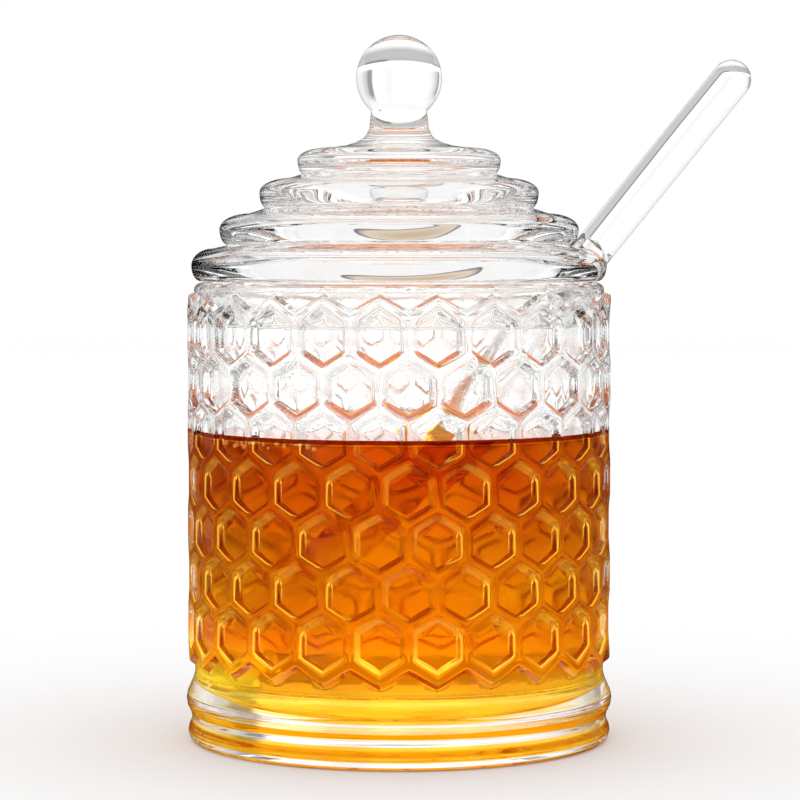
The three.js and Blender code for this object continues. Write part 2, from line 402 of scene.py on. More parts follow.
def wrap(sheet, radius):
    """Bends the flat sheet round the jar's axis."""
    across = [vertex.co.x for vertex in sheet.data.vertices]
    angle = (max(across) - min(across)) / radius
    apply_modifier(sheet, "SIMPLE_DEFORM", "wrap", deform_method="BEND", deform_axis="Z", angle=angle)
    edit(sheet)
    bpy.ops.mesh.select_all(action="SELECT")
    bpy.ops.transform.translate(value=(0, -radius, 0))
    bpy.ops.mesh.remove_doubles(threshold=0.05 * MM)
    leave_edit()


def border(piece, upper):
    """Selects the open edge loop at the top or bottom of a piece."""
    heights = [vertex.co.z for vertex in piece.data.vertices]
    middle = (max(heights) + min(heights)) / 2
    pick_edges(piece, lambda edge: edge.is_boundary and (edge.verts[0].co.z > middle) == upper)


def zigzag_to_ring(sizes, direction, height, slope):
    """From the zigzag border, a rib, its slope and then a level ring on the smooth wall."""
    body = sizes.radius - sizes.relief
    lean = math.cos(math.radians(30))
    border_rim = 0.3 * MM
    extrude_ring(direction * (sizes.rib / 2 + sizes.shoulder) / lean)
    bpy.ops.transform.edge_crease(value=0.45)
    extrude_ring(direction * slope / lean, body / sizes.radius)
    bpy.ops.transform.edge_crease(value=0.6)
    extrude_ring(direction * border_rim)
    bpy.ops.mesh.extrude_edges_move(TRANSFORM_OT_translate={"value": (0, 0, 0)})
    bpy.ops.transform.resize(value=(1, 1, 0), center_override=(0, 0, height))


def crease_zigzag_corners(jar, low, high):
    """Keeps the corners of a zigzag border crisp, between two heights."""
    upright = 0.003

    def is_corner(edge):
        start, end = (vertex.co for vertex in edge.verts)
        if min(start.z, end.z) < low or max(start.z, end.z) > high:
            return False
        return abs(start.xy.normalized().cross(end.xy.normalized())) < upright

    pick_edges(jar, is_corner)
    bpy.ops.transform.edge_crease(value=0.8)


def inner_radius(sizes, height):
    """Radius of the jar's inner wall at a height."""
    bottom = sizes.floor + sizes.corner
    top = sizes.height - 0.5 * MM
    return sizes.mouth_radius - sizes.draft * (top - height) / (top - bottom)


def jar_glass(sizes):
    """The whole jar: its honeycomb, then its mouth and inside, then its foot."""
    jar = comb_sheet(sizes)
    wrap(jar, sizes.radius)
    edit(jar)

    # Mouth, inner wall and floor
    border(jar, upper=True)
    zigzag_to_ring(sizes, 1, COMB_TOP, 0.5 * MM)
    body = sizes.radius - sizes.relief
    lip = in_metres([
        (42.55, 94.1), (42.1, 94.6), (41.5, 94.9), (40.9, 94.9), (40.5, 94.75), (40.4, 94.3),
    ])
    heights = (92, 84, 75, 68, 66, 64, 61, 54, 45, 36, 27, 20)
    wall = [(inner_radius(sizes, height * MM), height * MM) for height in heights]
    bottom = sizes.floor + sizes.corner
    centre = inner_radius(sizes, bottom) - sizes.corner
    corner = arc((centre, bottom), (sizes.corner, sizes.corner), 0, -1, 5)
    middle = [(radius * MM, sizes.floor) for radius in (24, 16, 8, 2.5)]
    extrude_profile([(body, COMB_TOP), *lip, *wall, *corner, *middle])
    bpy.ops.mesh.edge_face_add()

    # Foot with its two beads, and the base
    border(jar, upper=False)
    zigzag_to_ring(sizes, -1, COMB_BOTTOM, 0.9 * MM)
    foot = in_metres([
        (42.8, 13.7), (43.1, 12.7), (43.75, 11.2), (44.3, 9.9), (44.5, 8.7), (44.3, 7.4), (43.6, 6.0),
        (43.3, 4.9), (43.5, 3.9), (44.0, 2.8), (44.15, 1.8), (43.8, 0.8), (43.0, 0.15), (41.4, 0.0),
    ])
    base = in_metres([(39.0, 0.0), (37.4, 0.35), (34.0, 0.55), (24.0, 0.8), (12.0, 0.95), (3.0, 1.0)])
    extrude_profile([(body, COMB_BOTTOM), *foot, *base])
    bpy.ops.mesh.edge_face_add()

    # The zigzags lie between the outer rows' cells and the smooth rings
    half_side = 3.2 * MM
    short = 0.2 * MM
    crease_zigzag_corners(jar, sizes.top_row + half_side, COMB_TOP - short)
    last_row = sizes.top_row - (sizes.rows - 1) * row_pitch(sizes)
    crease_zigzag_corners(jar, COMB_BOTTOM + short, last_row - half_side)

    bpy.ops.mesh.select_all(action="SELECT")
    bpy.ops.mesh.normals_make_consistent(inside=False)
    leave_edit()
    apply_modifier(jar, "SUBSURF", "pressed glass", levels=2, render_levels=2)
    smooth(jar, 35)
    return jar


def give_faces(piece, slot, test):
    """Gives the faces that pass a test the material in a slot."""
    for face in piece.data.polygons:
        if test(face):
            face.material_index = slot


# Lid

TIERS = [
    {"radius": 43.15, "z": 98.4, "below": (2.0, 3.2), "above": (4.5, 3.6)},
    {"radius": 37.3, "z": 106.0, "below": (1.8, 3.3), "above": (6.0, 3.2)},
    {"radius": 29.0, "z": 113.6, "below": (1.4, 3.2), "above": (6.0, 2.9)},
    {"radius": 21.1, "z": 120.3, "below": (1.2, 2.8), "above": (5.0, 2.4)},
]


def tier_profile(tier):
    """Side of a tier, from the foot of its bead up over its edge."""
    radius, z, below, above = tier["radius"], tier["z"], tier["below"], tier["above"]
    return [
        *arc((radius - below[0], z), below, -1, 0, 7),
        *arc((radius - above[0], z), above, 0, 1, 9)[1:],
    ]


def lid_glass(sizes):
    """The turned lid, from its hollow's roof down to the skirt and up over the tiers to the knob."""
    inner, outer, bottom = sizes.skirt_inner / MM, sizes.skirt_outer / MM, sizes.skirt_bottom / MM
    roof = [(0.6, 118.7), (4, 118.5), (9, 117.4), (14.5, 115.4), (19, 112.3), (23.2, 109), (27.2, 105.4)]
    roof += [(30.8, 101.8), (33.8, 98.9), (35.7, 96.9), (36.4, 94.8)]
    skirt = [
        *arc((inner + 1.2, bottom + 1.2), (1.2, 1.2), 2, 3, 5),
        *arc((outer - 1.2, bottom + 1.2), (1.2, 1.2), 3, 4, 5),
        (outer, 94.6), (outer + 0.15, 95.1),
    ]
    tiers = [point for tier in TIERS for point in tier_profile(tier)]
    top = [(14.0, 122.9), (11.2, 123.3), (9.0, 124.0), (7.6, 124.7), (6.9, 125.4), (6.2, 126.8)]
    knob, neck = sizes.knob_radius / MM, sizes.neck_radius / MM
    meets = -math.acos(neck / knob) / (math.pi / 2)
    ball = arc((0, sizes.knob_height / MM), (knob, knob), meets, 0.985, 26)
    profile = scaled_points(roof, 3) + skirt + tiers + top + ball
    return turned("lid_glass", in_metres(profile), 128, angle=50)


def notch_tool(sizes, dipper, mouth):
    """What the notch takes away: a slot along the dipper, open towards the lid's edge."""
    bpy.ops.mesh.primitive_cylinder_add(vertices=48, radius=sizes.notch, depth=60 * MM)
    tool = bpy.context.object
    bpy.ops.mesh.primitive_cube_add(size=1.0, location=(30 * MM, 0, 0))
    slot = bpy.context.object
    slot.scale = (60 * MM, 2 * sizes.notch, 60 * MM)
    apply_transform()
    apply_modifier(tool, "BOOLEAN", "slot", operation="UNION", solver="EXACT", object=slot)
    bpy.data.objects.remove(slot, do_unlink=True)
    to_mouth = dipper.length - (ROD_TOP.z - mouth) / math.cos(dipper.lean)
    place(tool, dipper_point(dipper, to_mouth), dipper.lean)
    return tool


def collar(sizes):
    """Raised collar at the notch: a stretch of a ring on the lowest tier."""
    radius, height, stretch = 39.2 * MM, 100.5 * MM, 19 * MM
    bpy.ops.mesh.primitive_torus_add(
        location=(0, 0, height), major_radius=radius, minor_radius=sizes.collar,
        major_segments=160, minor_segments=28,
    )
    ring = bpy.context.object
    apply_transform()
    bpy.ops.mesh.primitive_cube_add(size=stretch, location=(radius, 0, height))
    block = bpy.context.object
    apply_transform()
    combine(ring, block, "INTERSECT")
    return ring


# Dipper

ROD_TOP = Vector((68.93 * MM, 0, 137 * MM))


def dipper_point(sizes, distance):
    """Point on the dipper's axis at a distance from the end of its head."""
    axis = Vector((math.sin(sizes.lean), 0, math.cos(sizes.lean)))
    return ROD_TOP + axis * (distance - sizes.length)


def head_radius(sizes, distance):
    """Radius of the grooved head at a distance from its end."""
    half = sizes.head_length / 2
    past_end = 0.4 * MM
    share = min(1.0, abs(distance - half) / (half + past_end))
    radius = sizes.head * math.sqrt(1 - share ** 2)
    if distance > half:
        radius = max(radius, sizes.rod)
    wave = (1 - math.cos(2 * math.pi * sizes.grooves * distance / sizes.head_length)) / 2
    return radius * (1 - wave * sizes.groove / sizes.head)


def dipper_shape(sizes, name, inset=0.0):
    """The dipper, or with an inset the space that it takes up in the honey."""
    steps = 60
    along = [sizes.head_length * i / steps for i in range(steps + 1)]
    head = [(head_radius(sizes, distance), distance) for distance in along]
    rod = [(sizes.rod, distance * MM) for distance in (27, 28, 34, 60, 90, 120, 150)]
    end = arc((0, sizes.length), (sizes.rod, sizes.rod), 0, 0.97, 14)
    profile = [(0.6 * MM, 0.0), *head, *rod, *end]
    profile = [
        (radius - inset, height + (inset if height < 0.01 * MM else 0)) for radius, height in profile
    ]
    piece = turned(name, profile, 64)
    place(piece, dipper_point(sizes, 0), sizes.lean)
    return piece


def cut_loop(piece, height):
    """Cuts a level loop of edges into a piece."""
    edit(piece)
    bpy.ops.mesh.select_all(action="SELECT")
    bpy.ops.mesh.bisect(plane_co=(0, 0, height), plane_no=(0, 0, 1))
    leave_edit()


# Honey

def honey_on_rod(sizes, dipper):
    """The little cone of honey that climbs the dipper's rod."""
    foot, top, rise = 1.9 * MM, 0.05 * MM, 5 * MM
    bpy.ops.mesh.primitive_cone_add(
        vertices=48, radius1=dipper.rod + foot, radius2=dipper.rod + top, depth=rise,
    )
    cone = bpy.context.object
    entry = dipper.length - (ROD_TOP.z - sizes.level) / math.cos(dipper.lean)
    place(cone, dipper_point(dipper, entry), dipper.lean)
    return cone


def honey_fill(sizes, jar, dipper):
    """The honey, which reaches just into the glass, climbs at its edge and leaves out the dipper."""
    reach = sizes.reach
    bottom = jar.floor + jar.corner
    centre = inner_radius(jar, bottom) - jar.corner
    round_size = jar.corner + reach
    corner = arc((centre, bottom), (round_size, round_size), -1, 0, 10)
    wall = [(inner_radius(jar, z * MM) + reach, z * MM) for z in (24, 34, 44, 54, 60)]
    edge = inner_radius(jar, sizes.level) + reach
    step, fade = 0.55 * MM, 0.9 * MM
    climb = []
    for i in range(9):
        rise = sizes.climb * math.exp(-step * i / fade)
        climb.append((edge - step * i, sizes.level + rise))
    surface = [(radius * MM, sizes.level) for radius in (32, 26, 20, 14, 8, 3, 0.8)]
    low = jar.floor - reach
    profile = [(1 * MM, low), (12 * MM, low), *corner, *wall, *climb, *surface]
    honey = turned("honey_fill", profile, 128, angle=60)
    combine(honey, honey_on_rod(sizes, dipper), "UNION")
    combine(honey, dipper_shape(dipper, "dipper_space", inset=0.06 * MM), "DIFFERENCE")
    smooth(honey, 50)
    return honey


def honey_bubbles(sizes, jar):
    """Small bubbles at the honey's surface, against the glass on the left."""
    draw = random.Random(7)
    bubbles = []
    for _ in range(sizes.bubbles):
        radius = draw.uniform(0.25, 0.6) * MM
        bearing = math.radians(draw.uniform(-65, -24))
        height = sizes.level - draw.uniform(0.2, 1.6) * MM
        reach = inner_radius(jar, height) - radius
        bpy.ops.mesh.primitive_uv_sphere_add(
            segments=16, ring_count=10, radius=radius,
            location=(reach * math.sin(bearing), -reach * math.cos(bearing), height),
        )
        apply_transform()
        bubbles.append(bpy.context.object)
    bubbles = joined(bubbles, "honey_bubbles")
    smooth(bubbles)
    return bubbles


# Shader node groups

def new_group(name, inputs, outputs):
    """A shader node group with named float inputs and outputs, and its two end nodes."""
    group = bpy.data.node_groups.new(name, "ShaderNodeTree")
    for label, default in inputs.items():
        socket = group.interface.new_socket(label, in_out="INPUT", socket_type="NodeSocketFloat")
        socket.default_value = default
    for label in outputs:
        group.interface.new_socket(label, in_out="OUTPUT", socket_type="NodeSocketFloat")
    return group, group.nodes.new("NodeGroupInput"), group.nodes.new("NodeGroupOutput")


def feed(socket, value):
    """Links a socket to another one, or sets it to a number or a colour."""
    if isinstance(value, bpy.types.NodeSocket):
        socket.id_data.links.new(value, socket)
    elif isinstance(value, (int, float)):
        socket.default_value = value
    else:
        socket.default_value = (*value, 1.0)


def set_inputs(node, values):
    """Feeds a node's inputs by name."""
    for name, value in values.items():
        feed(node.inputs[name], value)


def math_node(tree, operation, *values, clamp=False):
    """A Math node on sockets or numbers. Returns its output."""
    node = tree.nodes.new("ShaderNodeMath")
    node.operation = operation
    node.use_clamp = clamp
    for socket, value in zip(node.inputs, values):
        feed(socket, value)
    return node.outputs[0]


def noise_node(tree, vector, scale, detail, roughness=0.5):
    """A Noise texture on a vector. Returns its output."""
    node = tree.nodes.new("ShaderNodeTexNoise")
    set_inputs(node, {"Vector": vector, "Scale": scale, "Detail": detail, "Roughness": roughness})
    return node.outputs["Fac"]


def step_node(tree, value, low, high):
    """A soft step from 0 at one value to 1 at another. Returns its output."""
    node = tree.nodes.new("ShaderNodeMapRange")
    node.interpolation_type = "SMOOTHSTEP"
    set_inputs(node, {"Value": value, "From Min": low, "From Max": high})
    return node.outputs["Result"]


def ramp_node(tree, value, stops):
    """A colour ramp on a socket. Each stop is a position, a colour and, if it isn't 1, an alpha."""
    node = tree.nodes.new("ShaderNodeValToRGB")
    elements = node.color_ramp.elements
    while len(elements) < len(stops):
        elements.new(0.5)
    for element, (position, rgb, *alpha) in zip(elements, stops):
        element.position = position
        element.color = (*rgb, *(alpha or [1.0]))
    tree.links.new(value, node.inputs["Fac"])
    return node


def mix_node(tree, factor, first, second, kind="MIX"):
    """A Mix node on two colours. Returns its output."""
    node = tree.nodes.new("ShaderNodeMix")
    node.data_type = "RGBA"
    node.blend_type = kind
    for index, value in ((0, factor), (6, first), (7, second)):
        feed(node.inputs[index], value)
    return node.outputs[2]


def split_place(group):
    """Object coordinates: as a vector, and split into X, Y and Z."""
    vector = group.nodes.new("ShaderNodeTexCoord").outputs["Object"]
    split = group.nodes.new("ShaderNodeSeparateXYZ")
    group.links.new(vector, split.inputs[0])
    return vector, split.outputs


def axis_distance(group, place):
    """Distance of a place from the jar's axis."""
    across = math_node(group, "MULTIPLY", place["X"], place["X"])
    along = math_node(group, "MULTIPLY", place["Y"], place["Y"])
    return math_node(group, "SQRT", math_node(group, "ADD", across, along))


def between(group, value, low, high):
    """1 where a value lies between two others, or else 0."""
    above = math_node(group, "GREATER_THAN", value, low)
    under = math_node(group, "LESS_THAN", value, high)
    return math_node(group, "MULTIPLY", above, under)


def ripple_group():
    """Faint waves of pressed glass, and fine pitting where its mould was rough.

    Height is in millimetres. Seen from inside, between two heights, the wall is soft.
    """
    group, entry, leave = new_group(
        "glass_ripple",
        {
            "Wave Scale": 120.0, "Wave Height": 0.02, "Pit Scale": 1500.0, "Pit Height": 0.0,
            "Pit Radius": 0.0, "Soft Bottom": 0.0, "Soft Top": 0.0, "Softness": 0.0,
        },
        ["Height", "Roughness"],
    )
    calc = partial(math_node, group)
    given = entry.outputs
    vector, place = split_place(group)
    wave = noise_node(group, vector, given["Wave Scale"], detail=2.0)
    wave = calc("MULTIPLY", wave, given["Wave Height"])

    # Pits lie in patches, inside the radius that they are kept to
    pits = noise_node(group, vector, given["Pit Scale"], detail=3.0, roughness=0.7)
    spread = group.nodes.new("ShaderNodeMapRange")
    patches = noise_node(group, vector, 160.0, detail=1.0)
    set_inputs(spread, {"Value": patches, "From Min": 0.45, "From Max": 0.62})
    inside = calc("LESS_THAN", axis_distance(group, place), given["Pit Radius"])
    pits = calc("MULTIPLY", calc("MULTIPLY", pits, spread.outputs["Result"]), inside)
    pits = calc("MULTIPLY", pits, given["Pit Height"])
    group.links.new(calc("ADD", wave, pits), leave.inputs["Height"])

    smear = noise_node(group, vector, 45.0, detail=4.0, roughness=0.6)
    smear = calc("MULTIPLY", calc("SUBTRACT", smear, 0.55, clamp=True), 0.12)
    inner = group.nodes.new("ShaderNodeNewGeometry").outputs["Backfacing"]
    soft = calc("MULTIPLY", between(group, place["Z"], given["Soft Bottom"], given["Soft Top"]), inner)
    soft = calc("MULTIPLY", soft, given["Softness"])
    group.links.new(calc("ADD", smear, soft), leave.inputs["Roughness"])
    return group


def painted_slope_light_group():
    """Which slopes of the honeycomb get painted shade (Shade) against honey, and which a painted glow
    (Glow).
    """
    group, entry, leave = new_group(
        "painted_slope_light",
        {
            "Bottom": COMB_BOTTOM, "Top": 0.0638, "Sideways": 0.8, "Upwards": 1.1, "Line": 0.5,
            "Line Width": 0.09, "Broad Glow": 0.2, "Outer Shade": 0.33, "Low Row": 0.0245,
            "Low Row Glow": 0.4,
        },
        ["Shade", "Glow"],
    )
    calc = partial(math_node, group)
    step = partial(step_node, group)
    given = entry.outputs
    place = split_place(group)[1]
    surface = group.nodes.new("ShaderNodeNewGeometry")
    split = group.nodes.new("ShaderNodeSeparateXYZ")
    group.links.new(surface.outputs["Normal"], split.inputs[0])
    facing = split.outputs

    # How far a face looks round the jar, rather than straight out from its axis
    radius = axis_distance(group, place)
    turn = calc("MULTIPLY", facing["Y"], place["X"])
    turn = calc("SUBTRACT", turn, calc("MULTIPLY", facing["X"], place["Y"]))
    turn = calc("MULTIPLY", calc("DIVIDE", turn, radius), given["Sideways"])

    # Left of the middle the left slopes get the painted glow, right of it the right ones, and the outer
    # ones most
    side = calc("MULTIPLY", place["X"], place["Y"])
    side = calc("DIVIDE", side, calc("MULTIPLY", radius, radius))
    flip = group.nodes.new("ShaderNodeMapRange")
    set_inputs(flip, {"Value": side, "From Min": -0.25, "From Max": -0.12, "To Min": -1.0})
    turn = calc("MULTIPLY", turn, flip.outputs["Result"])

    # Slopes that look down get the painted glow, but in the lowest row, where the foot would light them,
    # those that look up
    blur = 2 * MM
    low_row = step(calc("SUBTRACT", given["Low Row"], place["Z"]), -blur, blur)
    upwards = calc("MULTIPLY", facing["Z"], given["Upwards"])
    upwards = calc("MULTIPLY", upwards, calc("SUBTRACT", 1.0, calc("MULTIPLY", low_row, 2.0)))
    lit = calc("SUBTRACT", turn, upwards)

    facing_out = calc("SUBTRACT", 1.0, surface.outputs["Backfacing"])
    mask = calc("MULTIPLY", between(group, place["Z"], given["Bottom"], given["Top"]), facing_out)

    # Near the middle a lit slope gets painted glow all over, further out painted shade between painted
    # bright lines
    outer = step(calc("ABSOLUTE", side), 0.12, 0.34)
    edge = calc("ADD", turn, calc("MULTIPLY", facing["Z"], 0.45))
    line = calc("ABSOLUTE", calc("SUBTRACT", edge, given["Line"]))
    line = calc("SUBTRACT", 1.0, calc("DIVIDE", line, given["Line Width"]), clamp=True)
    line = calc("MULTIPLY", line, outer)
    broad = calc("ADD", calc("MULTIPLY", low_row, given["Low Row Glow"]), given["Broad Glow"])
    broad = calc("MULTIPLY", step(lit, 0.25, 0.85), broad)
    dark = calc("MULTIPLY", step(edge, 0.4, 0.52), outer)
    broad = calc("MULTIPLY", broad, calc("SUBTRACT", 1.0, dark))
    group.links.new(calc("MULTIPLY", calc("ADD", line, broad), mask), leave.inputs["Glow"])
    shade = calc("MULTIPLY", step(edge, 0.56, 0.66), outer)
    shade = calc("MAXIMUM", shade, step(calc("MULTIPLY", lit, -1.0), 0.25, 0.85))
    # Painted shade over every outer face as well, floors and ribs too
    shade = calc("MAXIMUM", shade, calc("MULTIPLY", outer, given["Outer Shade"]))
    group.links.new(calc("MULTIPLY", shade, mask), leave.inputs["Shade"])
    return group


def honey_tone_and_painted_light_group():
    """Soft changes of tone in honey: deeper near its surface, paler lower down, and the masks for its
    painted light.

    Rim runs up the edge of its surface from 0 to 1, for the painted shade and painted highlight there;
    Low runs down into the foot from 0 to 1, for the painted glow there.
    """
    group, entry, leave = new_group(
        "honey_tone_and_painted_light",
        {
            "Top": 0.064, "Bottom": 0.018, "Patch Scale": 50.0, "Patch Share": 0.75, "Rim": 0.0625,
            "Rim Height": 0.0025, "Foot Top": 0.03, "Foot Bottom": 0.007,
        },
        ["Depth", "Rim", "Low"],
    )
    calc = partial(math_node, group)
    given = entry.outputs
    vector, place = split_place(group)
    rise = step_node(group, place["Z"], given["Bottom"], given["Top"])
    patches = noise_node(group, vector, given["Patch Scale"], detail=1.5)
    patches = calc("MULTIPLY", calc("SUBTRACT", patches, 0.5), 2.4)
    patches = calc("MULTIPLY", patches, given["Patch Share"])
    group.links.new(calc("ADD", rise, patches, clamp=True), leave.inputs["Depth"])
    rim = calc("SUBTRACT", place["Z"], given["Rim"])
    group.links.new(calc("DIVIDE", rim, given["Rim Height"], clamp=True), leave.inputs["Rim"])
    low = group.nodes.new("ShaderNodeMapRange")
    set_inputs(low, {
        "Value": place["Z"], "From Min": given["Foot Top"], "From Max": given["Foot Bottom"],
    })
    group.links.new(low.outputs["Result"], leave.inputs["Low"])
    return group


# Materials

def new_material(name):
    """A material with its node tree and its shader."""
    material = bpy.data.materials.new(name)
    material.use_nodes = True
    return material, material.node_tree, material.node_tree.nodes["Principled BSDF"]


def add_ripple(tree, shader, values):
    """Places the ripple group in a material and lets it drive the normal and the roughness."""
    group = bpy.data.node_groups.get("glass_ripple") or ripple_group()
    node = tree.nodes.new("ShaderNodeGroup")
    node.node_tree = group
    set_inputs(node, values)
    bump = tree.nodes.new("ShaderNodeBump")
    bump.inputs["Strength"].default_value = 1.0
    bump.inputs["Distance"].default_value = MM
    tree.links.new(node.outputs["Height"], bump.inputs["Height"])
    tree.links.new(bump.outputs["Normal"], shader.inputs["Normal"])
    tree.links.new(node.outputs["Roughness"], shader.inputs["Roughness"])


def glass_material(name, finishes, ripple, ior=1.5):
    """Clear pressed glass with faint waves in its surface."""
    material, tree, shader = new_material(name)
    set_inputs(shader, {
        "Base Color": finishes.glass, "Metallic": 0.0, "Transmission Weight": 1.0, "IOR": ior,
    })
    add_ripple(tree, shader, ripple)
    return material


def add_painted_slope_light(material, finishes):
    """Paints shade and glow onto the honeycomb's slopes where honey stands behind them: painted shade in
    the base colour, painted glow as emission.
    """
    tree = material.node_tree
    shader = tree.nodes["Principled BSDF"]
    tones = tree.nodes.new("ShaderNodeGroup")
    tones.node_tree = painted_slope_light_group()
    for output, socket, plain, full in (
        ("Shade", "Base Color", finishes.glass, finishes.painted_slope_shade),
        ("Glow", "Emission Color", BLACK, finishes.painted_slope_glow),
    ):
        tree.links.new(mix_node(tree, tones.outputs[output], plain, full), shader.inputs[socket])
    shader.inputs["Emission Strength"].default_value = 1.0


def bubble_glint_material(finishes):
    """Bubbles in the honey with a painted glint: a bright colour that also glows."""
    material, _, shader = new_material("honey_bubbles")
    set_inputs(shader, {
        "Base Color": finishes.bubble, "Metallic": 0.0, "Roughness": 0.15,
        "Emission Color": finishes.bubble, "Emission Strength": 0.35,
    })
    return material


def add_depth(tree, finishes):
    """Lets a material take up light as honey does, the more the deeper it is."""
    depth = tree.nodes.new("ShaderNodeVolumeAbsorption")
    set_inputs(depth, {"Color": finishes.honey, "Density": finishes.honey_depth})
    tree.links.new(depth.outputs["Volume"], tree.nodes["Material Output"].inputs["Volume"])


def honey_film_material(finishes):
    """Thin honey on the dipper's rod, with a painted glow."""
    material, tree, shader = new_material("honey_film")
    set_inputs(shader, {
        "Base Color": (1.0, 0.85, 0.2), "Metallic": 0.0, "Roughness": 0.0, "Transmission Weight": 1.0,
        "IOR": 1.0, "Emission Color": (1.0, 0.5, 0.03), "Emission Strength": 0.35,
    })
    add_depth(tree, finishes)
    return material


def honey_material(name, finishes, ior, toned_with_painted_light):
    """Clear honey, deeper in colour where it is thicker. Against the glass its tone changes, with
    painted shade and a painted highlight at its rim and a painted glow in the foot.
    """
    material, tree, shader = new_material(name)
    set_inputs(shader, {
        "Base Color": WHITE, "Metallic": 0.0, "Transmission Weight": 1.0, "IOR": ior,
    })
    add_ripple(tree, shader, {"Wave Scale": 60.0, "Wave Height": 0.02, "Pit Height": 0.0})
    add_depth(tree, finishes)
    if not toned_with_painted_light:
        return material

    tone = tree.nodes.new("ShaderNodeGroup")
    tone.node_tree = bpy.data.node_groups.get("honey_tone_and_painted_light") or honey_tone_and_painted_light_group()
    shades = mix_node(tree, tone.outputs["Depth"], WHITE, finishes.deep_honey)

    # Painted shade and highlight at the rim: a dark line where the honey's surface meets the glass, over
    # a pale painted highlight and a thin dark line of painted shade
    dark = (0.14, 0.012, 0.001)
    pale = (1.0, 0.9, 0.7)
    line = ramp_node(tree, tone.outputs["Rim"], [
        (0.0, dark, 0.0), (0.2, dark, 0.0), (0.23, dark, 0.6), (0.28, dark, 0.6),
        (0.31, pale, 0.8), (0.41, pale, 0.8), (0.45, dark, 1.0), (1.0, dark, 1.0),
    ])
    shades = mix_node(tree, line.outputs["Alpha"], shades, line.outputs["Color"])
    tree.links.new(shades, shader.inputs["Base Color"])

    # Painted glow: as the thick foot gathers light, the honey in it glows brighter and more yellow
    yellow = (0.17, 0.2, 0.015)
    glow = ramp_node(tree, tone.outputs["Low"], [
        (0.0, BLACK), (0.22, (0.05, 0.0, 0.0)), (0.43, (0.12, 0.01, 0.0)), (0.54, (0.15, 0.05, 0.0)),
        (0.65, yellow), (0.78, yellow), (0.87, (0.08, 0.05, 0.0)), (1.0, (0.06, 0.03, 0.0)),
    ])
    tree.links.new(glow.outputs["Color"], shader.inputs["Emission Color"])
    shader.inputs["Emission Strength"].default_value = 1.0
    return material


# Stage

# Brightness and warmth round the pot, kept at a third in the ramps, which hold no more than 1
GAIN = 3.0
WARM = (0.62, 0.5, 0.36)
WARM_PALE = (0.8, 0.72, 0.6)
WARM_EDGE = (0.16, 0.15, 0.2)
OVAL_CENTRE = (0.06, 0.37)
OVAL_SIZE = (0.3, 0.095)
TABLE_LINE = (0.3, 0.27, 0.24)


def grey(level):
    return (level, level, level)


def world_light():
    """Soft studio light: white for the camera, and panels with grey gaps for the glass."""
    world = bpy.data.worlds.new("studio")
    bpy.context.scene.world = world
    world.use_nodes = True
    tree = world.node_tree
    tree.nodes.clear()
    output = tree.nodes.new("ShaderNodeOutputWorld")
    background = tree.nodes.new("ShaderNodeBackground")
    split = tree.nodes.new("ShaderNodeSeparateXYZ")
    tree.links.new(tree.nodes.new("ShaderNodeTexCoord").outputs["Generated"], split.inputs[0])
    direction = split.outputs
    calc = partial(math_node, tree)
    blend = partial(mix_node, tree)

    def ramp(value, stops):
        return ramp_node(tree, value, stops).outputs["Color"]

    def brightness(value, stops):
        return ramp(value, [(position, grey(level / GAIN)) for position, level in stops])

    # Height of a direction, 0 straight down and 1 straight up
    height = calc("ADD", calc("MULTIPLY", direction["Z"], 0.5), 0.5)

    # Bearing of a direction within its quarter turn, 0 and 1 on the diagonals and 0.5 on an axis
    bearing = calc("ARCTAN2", direction["X"], direction["Y"])
    bearing = calc("FRACT", calc("ADD", calc("DIVIDE", bearing, math.pi / 2), 0.5))
    from_diagonal = calc("PINGPONG", bearing, 0.5)

    # Through the glass: a bright panel in each quarter with a dim strip on its right, and a pale table
    panels = brightness(bearing, [
        (0.0, 0.8), (0.15, 0.95), (0.34, 1.0), (0.38, 1.25), (0.53, 1.15), (0.57, 0.9), (0.63, 0.9),
        (0.67, 1.2), (0.79, 1.2), (0.82, 0.3), (0.88, 0.3), (0.92, 0.6), (1.0, 0.7),
    ])
    low = ramp(height, [(0.0, WHITE), (0.44, WHITE), (0.46, BLACK)])
    panels = blend(low, panels, grey(0.95 / GAIN))
    heights = brightness(height, [
        (0.0, 1.3), (0.2, 1.3), (0.28, 0.62), (0.38, 0.62), (0.402, 1.5), (0.43, 1.5), (0.47, 1.1),
        (0.75, 1.1),
    ])
    through = blend(1.0, heights, panels, kind="MULTIPLY")
    through = blend(1.0, through, grey(GAIN ** 2), kind="MULTIPLY")

    # A dim line at the table's edge, on the right of each quarter
    line = ramp(height, [(0.0, BLACK), (0.37, BLACK), (0.377, WHITE), (0.39, WHITE), (0.397, BLACK)])
    side = ramp(bearing, [(0.0, grey(0.25)), (0.6, grey(0.25)), (0.64, WHITE)])
    through = blend(calc("MULTIPLY", line, side), through, TABLE_LINE)

    # Overhead the light is even, but for a warm oval of ceiling behind the pot
    rise = ramp(height, [(0.68, BLACK), (0.76, WHITE)])
    aside = calc("DIVIDE", calc("SUBTRACT", direction["X"], OVAL_CENTRE[0]), OVAL_SIZE[0])
    behind = calc("DIVIDE", calc("SUBTRACT", direction["Y"], OVAL_CENTRE[1]), OVAL_SIZE[1])
    from_oval = calc("ADD", calc("MULTIPLY", aside, aside), calc("MULTIPLY", behind, behind))
    overhead = ramp(from_oval, [(0.0, WARM), (0.6, WARM_PALE), (0.9, WARM_EDGE), (1.0, WHITE)])
    through = blend(rise, through, overhead)

    # Mirrored in the glass: dark surroundings with a narrow dim strip on each diagonal
    mirrored = ramp(from_diagonal, [
        (0.0, grey(0.15)), (0.03, grey(0.15)), (0.05, grey(0.02)), (0.5, grey(0.02)),
    ])

    rays = tree.nodes.new("ShaderNodeLightPath")
    light = blend(rays.outputs["Is Glossy Ray"], grey(1.15), mirrored)
    light = blend(rays.outputs["Is Transmission Ray"], light, through)
    light = blend(rays.outputs["Is Camera Ray"], light, WHITE)
    tree.links.new(light, background.inputs["Color"])
    tree.links.new(background.outputs["Background"], output.inputs["Surface"])


